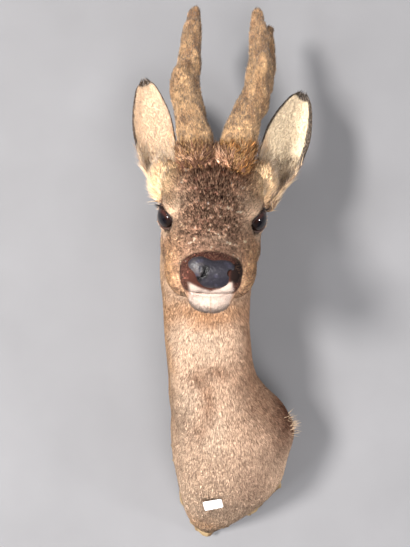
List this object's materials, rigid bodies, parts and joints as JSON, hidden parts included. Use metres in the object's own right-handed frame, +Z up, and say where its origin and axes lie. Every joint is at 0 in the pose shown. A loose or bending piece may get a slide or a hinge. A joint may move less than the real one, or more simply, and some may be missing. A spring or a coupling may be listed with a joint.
{
  "type": "roe deer shoulder mount",
  "caption": "Life-size roebuck head, neck and shoulders on a form, with antlers in velvet, cupped ears and glass eyes, made to hang flat on a wall.",
  "frame": {"origin": "middle of the back board's flat rear face, where the mount lies against the wall", "axes": "+Z up the wall, +Y into the wall, so the nose points towards -Y, and +X to the animal's left"},
  "size_m": [0.1973, 0.2645, 0.6021],
  "materials": {
    "coat_face": "short dense hair, grey-brown with pale tips",
    "coat_pale": "short cream to white hair",
    "coat_neck": "coarse fawn hair flecked with dark brown",
    "ear_coat": "short tan hair outside, long cream hair inside, blackish rim",
    "velvet": "soft short tan-brown velvet",
    "nose_leather": "blue-black grained skin, satin",
    "eye_glass": "polished dark brown glass",
    "board_wood": "plain sawn softwood",
    "hanger_steel": "zinc-plated, dull",
    "label_paper": "matt white paper"
  },
  "bodies": {
    "root": {"head": "coat_face", "lower_jaw": "coat_pale", "nose": "nose_leather", "eye_right": "eye_glass", "eye_left": "eye_glass", "neck_upper": "coat_neck", "neck_lower": "coat_neck", "shoulders": "coat_neck", "ear_right": "ear_coat", "ear_left": "ear_coat", "antler_right_beam": "velvet", "antler_right_front_tine": "velvet", "antler_right_rear_tine": "velvet", "antler_left_beam": "velvet", "antler_left_front_tine": "velvet", "antler_left_rear_tine": "velvet", "back_board": "board_wood", "hanger_plate": "hanger_steel", "label": "label_paper"}
  },
  "joints": []
}
